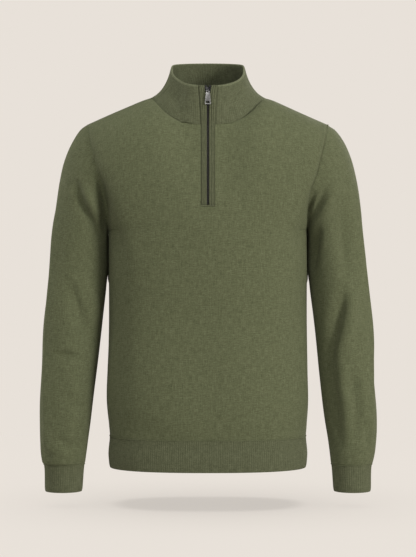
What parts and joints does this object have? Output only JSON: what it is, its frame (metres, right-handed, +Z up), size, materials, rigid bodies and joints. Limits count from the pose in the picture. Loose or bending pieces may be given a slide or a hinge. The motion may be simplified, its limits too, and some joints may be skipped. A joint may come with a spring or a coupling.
{
  "type": "quarter zip sweater",
  "caption": "Knitted pullover in worn, hollow form with a stand collar, a short front zip with a swinging pull tab, set-in sleeves and ribbed hem and cuffs.",
  "frame": {"origin": "in the neck, in the middle plane and level with the high point of both shoulders, where the wearer holds the garment up", "axes": "+X to the wearer's left, -Y to the front, +Z up"},
  "size_m": [0.6028, 0.2438, 0.7714],
  "materials": {
    "jersey": "fine plain knit in olive green, matt, with a light nap",
    "rib": "fine one by one rib in olive green, matt",
    "zip_tape": "black woven tape and closed coil chain",
    "zip_metal": "dark satin gunmetal"
  },
  "bodies": {
    "garment": {"front_panel": "jersey", "back_panel": "jersey", "sleeve_left": "jersey", "sleeve_right": "jersey", "cuff_left": "rib", "cuff_right": "rib", "hem_rib_front": "rib", "hem_rib_back": "rib", "collar": "rib", "placket_left": "rib", "placket_right": "rib", "placket_foot": "rib", "zip_tape_left": "zip_tape", "zip_tape_right": "zip_tape", "zip_slider": "zip_metal"},
    "pull_tab": {"zip_pull_tab": "zip_metal"}
  },
  "joints": [
    {"name": "pull_tab_swing", "type": "hinge", "parent": "garment", "child": "pull_tab", "pos_m": [0, -0.08078, 0.00328], "axis": [-1, 0, 0], "range_deg": [0, 175]}
  ]
}
